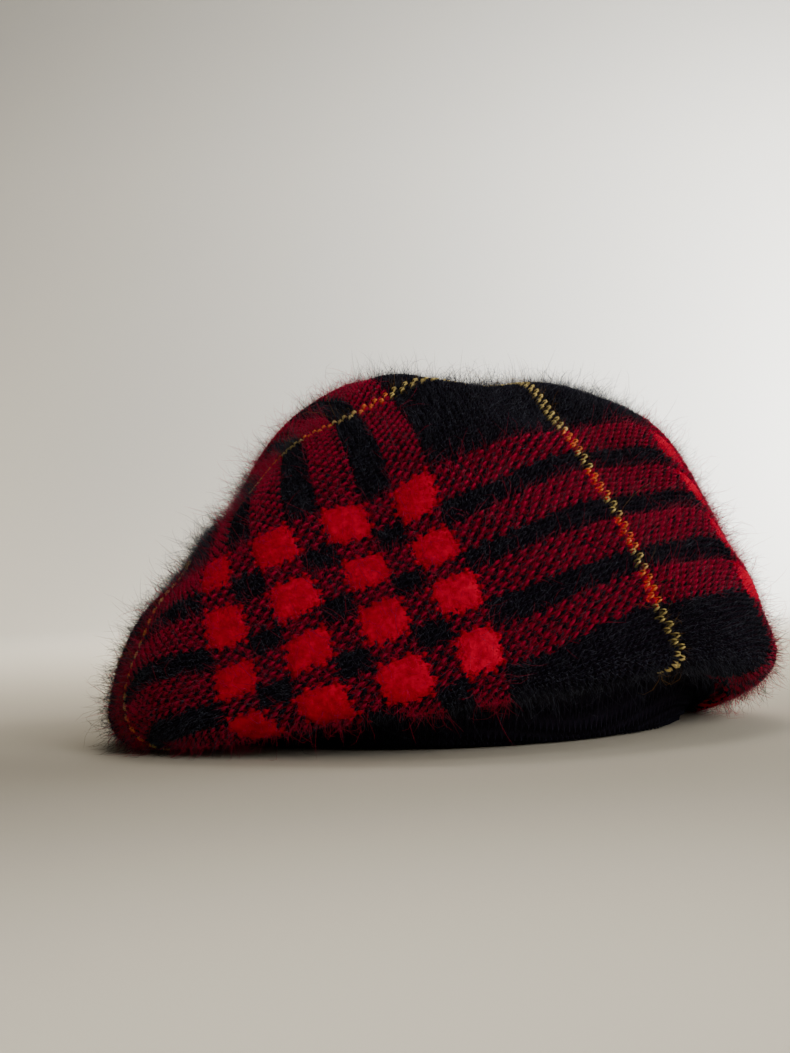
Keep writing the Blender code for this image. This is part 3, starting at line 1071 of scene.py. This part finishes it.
def fibrePaths(seed, count, rings, lengths, radius, lifts, curl, rarity):
    # A fibre leaves its root at a slant and bends steadily to one side: its direction turns
    # along it by the curl's angle, and its points are the sums of equal steps along it.
    draw = np.random.default_rng(seed)
    likely = np.where(stitchColour == yarnCodes["yellow"], fuzz["yellowShare"], 1.0)
    pick = draw.choice(len(column), count, p=likely / likely.sum())
    stitch = np.stack([column[pick], row[pick]], -1) + draw.uniform(-0.5, 0.5, (count, 2))
    root, outward, share = onForm(lay.place(stitch), np.full(count, -fuzz["rootDepth"]))
    mine = share < fuzz["lastShare"]
    aside = draw.normal(size=(count, 3))
    aside = unit(aside - (aside * outward).sum(-1, keepdims=True) * outward)
    lift = np.radians(draw.uniform(*lifts, size=(count, 1)))
    slant = aside * np.cos(lift) + outward * np.sin(lift)
    turned = unit(np.cross(slant, draw.normal(size=(count, 3))))
    turn = np.abs(draw.normal(size=(count, 1, 1))) * curl
    turn = turn * np.linspace(0.0, 1.0, rings + 1)[None, :, None]
    low, high = lengths
    length = (low + (high - low) * draw.uniform(size=(count, 1, 1)) ** rarity) * mm
    steps = (slant[:, None, :] * np.cos(turn) + turned[:, None, :] * np.sin(turn)) * length / (rings + 1)
    path = np.concatenate([root[:, None, :], root[:, None, :] + steps.cumsum(axis=1)], axis=1)
    low, high = np.array(cadLow) - fuzz["farthest"], np.array(cadHigh) + fuzz["farthest"]
    low[2] = cloth["floor"] + radius * mm
    path = np.clip(path, low, high)
    radii = np.ones(rings + 2) * radius * mm
    radii[1:-1] *= np.linspace(1.0, fuzz["taper"], rings)
    radii = np.broadcast_to(radii, (count, rings + 2)) * draw.uniform(*fuzz["thickness"], (count, 1))
    tinged = overRed[pick] & (draw.uniform(size=count) < fuzz["redShare"])
    colours = np.where(tinged, yarnCodes["red"], stitchColour[pick])
    return path[mine], radii[mine], outward[mine], colours[mine]


for seed, (label, kind) in enumerate(fibreKinds.items(), fuzz["seed"]):
    paths, radii, ups, colours = fibrePaths(seed, *kind)
    curled = paths.shape[1] > 2
    for colour, code in yarnCodes.items():
        mine = colours == code
        finish = fuzzFinishes["long red" if colour == "red" and curled else colour]
        addStrands("%s_%s" % (label, colour), paths[mine], radii[mine], ups[mine], finish, "crown_knit")


studio = {
    "width": 8.0,
    "near": -4.0,        # the floor's front edge, behind the camera
    "back": 0.95,        # where the floor starts to curve up
    "bend": 0.55,        # radius of that curve
    "bendSteps": 24,
    "height": 2.6,
    "colour": (0.44, 0.398, 0.315),
    "look": (0.9, 0.1),  # roughness and gloss
    "airColour": (1.0, 0.90, 0.78),
    "airStrength": 0.13,
}

# Round lights: place, target and size in metres, width of the beam in degrees, watts, colour.
daylight = (1.0, 0.99, 0.98)
lights = {
    "window": ((1.5, 0.35, 0.65), (0.0, 0.0, 0.05), 1.0, 80.0, 2.7, daylight),
    "rim_light": ((1.2, 0.30, 0.22), (0.05, 0.0, 0.05), 0.6, 60.0, 0.5, daylight),
    "wall_glow_right": ((0.85, 0.85, 0.40), (0.42, 1.4, 0.05), 0.4, 150.0, 46.0, (0.90, 0.98, 1.16)),
    "wall_glow_left": ((-0.85, 0.85, 0.03), (-0.55, 1.3, -0.1), 0.5, 110.0, 4.8, (1.0, 0.93, 0.80)),
    "floor_glow": ((0.05, 0.65, 0.8), (0.05, 0.65, 0.0), 1.0, 70.0, 7.0, (1.0, 0.955, 0.90)),
    "table_light": ((0.0, -0.36, 0.55), (0.0, -0.37, 0.0), 0.3, 44.0, 0.42, daylight),
    "front_fill": ((0.85, -1.20, 0.72), (0.0, 0.0, 0.05), 0.9, 80.0, 3.7, daylight),
}


def studioSweep():
    # A flat floor that turns up into the wall along a quarter circle.
    turn = np.linspace(0.0, np.pi / 2, studio["bendSteps"])
    wall = studio["back"] + studio["bend"]
    y = np.concatenate([[studio["near"]], studio["back"] + studio["bend"] * np.sin(turn), [wall]])
    z = np.concatenate([[0.0], studio["bend"] * (1 - np.cos(turn)), [studio["height"]]])
    x = np.array([-0.5, 0.5]) * studio["width"]
    points = np.stack(np.broadcast_arrays(x[:, None], y[None, :], z[None, :]), -1).reshape(-1, 3)
    finish = Finish("studio_paper", *studio["look"])
    finish.colour((*studio["colour"], 1.0))
    faces = gridFaces(2, len(y), False, False)[:, ::-1]
    makeMesh("studio_sweep", points, faces, finish.material)


def addLight(name, place, target, size, beam, power, colour):
    data = bpy.data.lights.new(name, "AREA")
    data.shape = "DISK"
    data.size = size
    data.spread = np.radians(beam)
    data.energy = power
    data.color = colour
    light = addObject(name, data)
    light.location = place
    light.rotation_mode = "QUATERNION"
    light.rotation_quaternion = (Vector(target) - Vector(place)).to_track_quat("-Z", "Y")


def addWorld():
    world = bpy.data.worlds.new("studio_air")
    world.use_nodes = True
    air = world.node_tree.nodes["Background"]
    air.inputs["Color"].default_value = (*studio["airColour"], 1.0)
    air.inputs["Strength"].default_value = studio["airStrength"]
    bpy.context.scene.world = world


studioSweep()
addWorld()
for name, row in lights.items():
    addLight(name, *row)
print("studio set")
